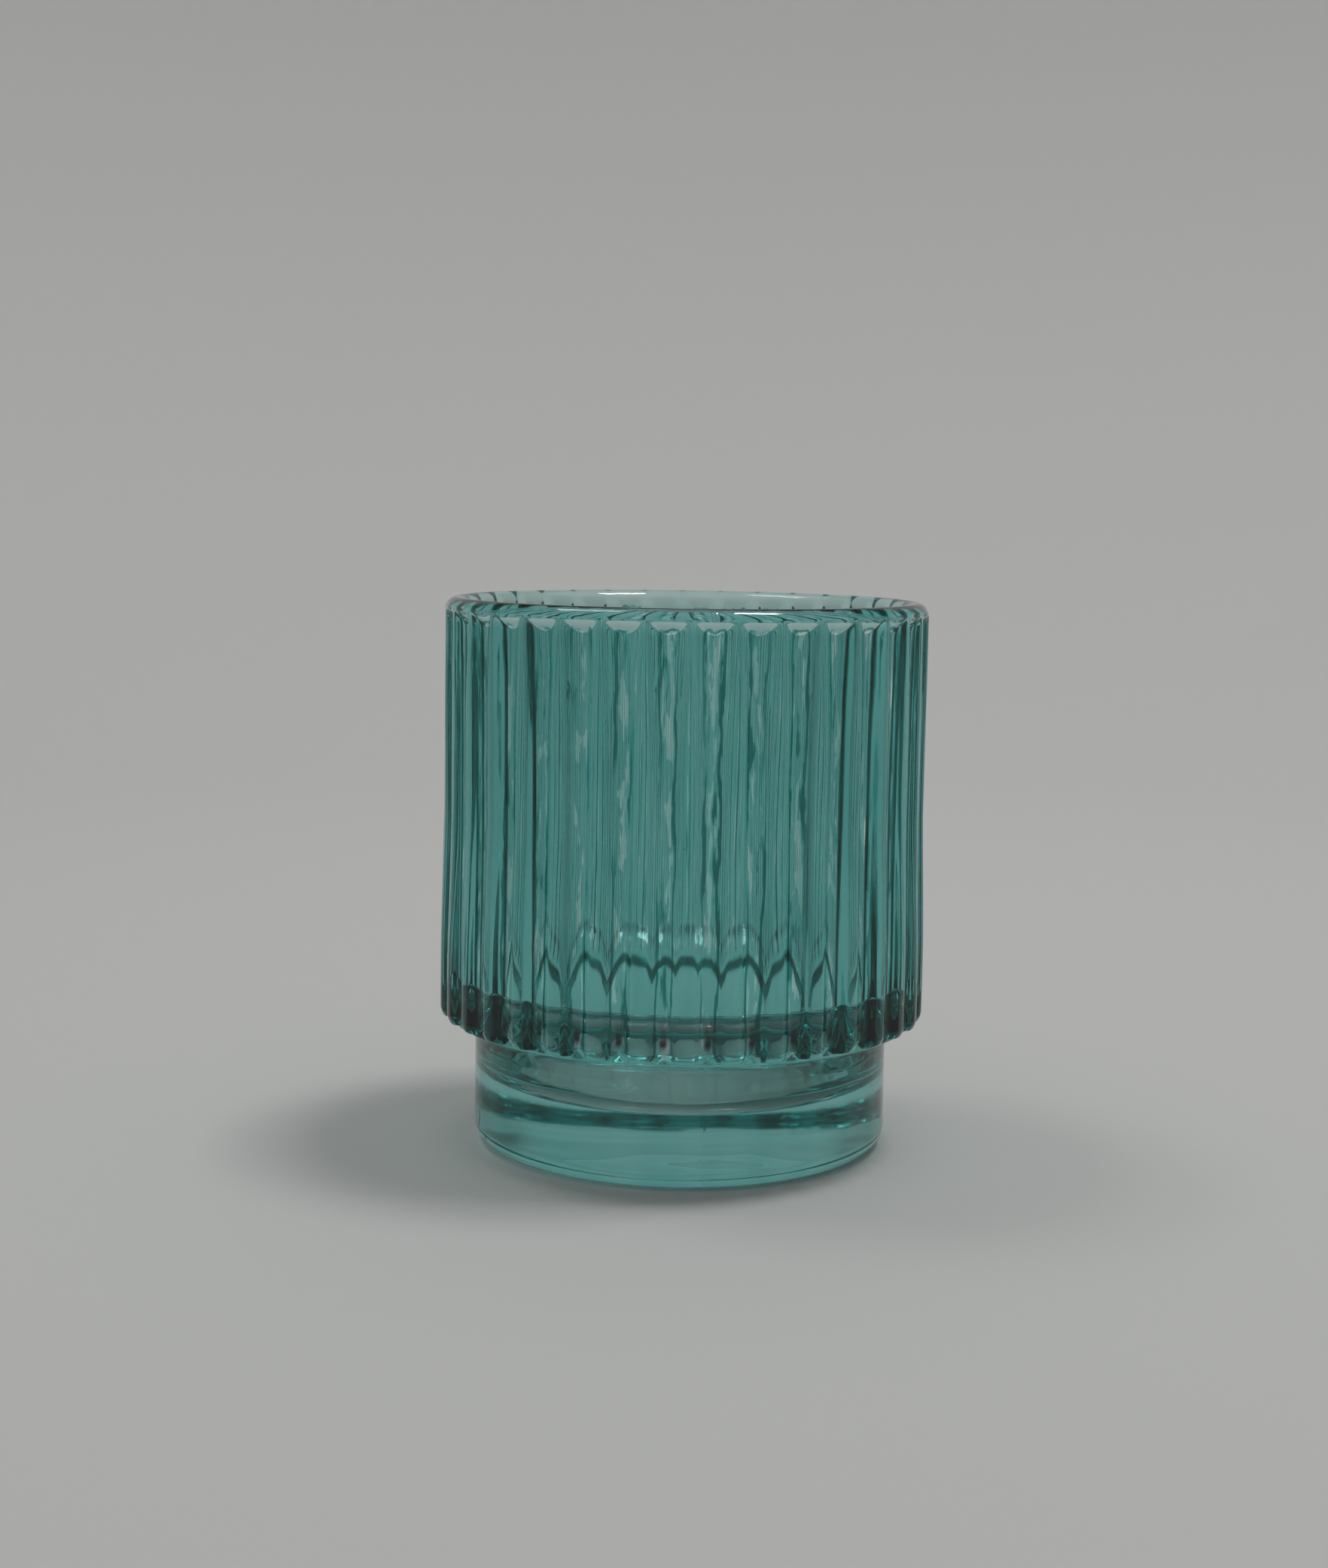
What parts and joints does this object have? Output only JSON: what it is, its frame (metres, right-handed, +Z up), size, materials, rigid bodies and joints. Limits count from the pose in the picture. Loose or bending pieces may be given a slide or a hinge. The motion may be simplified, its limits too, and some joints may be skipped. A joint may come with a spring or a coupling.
{
  "type": "ribbed glass bud vase",
  "caption": "Short wide-mouthed glass vase with convex vertical ribs, a smooth round rim and a narrower plain foot.",
  "frame": {"origin": "centre of the flat ring that the vase rests on", "axes": "+Z up along the axis of the vase; a rib crest lies on each of +X, -X, +Y and -Y, and -Y is the side seen in the picture"},
  "size_m": [0.0716, 0.0716, 0.08],
  "materials": {
    "teal_glass": "clear pressed glass with a translucent teal coat on the outside, glossy"
  },
  "bodies": {
    "root": {"glass_vase": "teal_glass"}
  },
  "joints": []
}
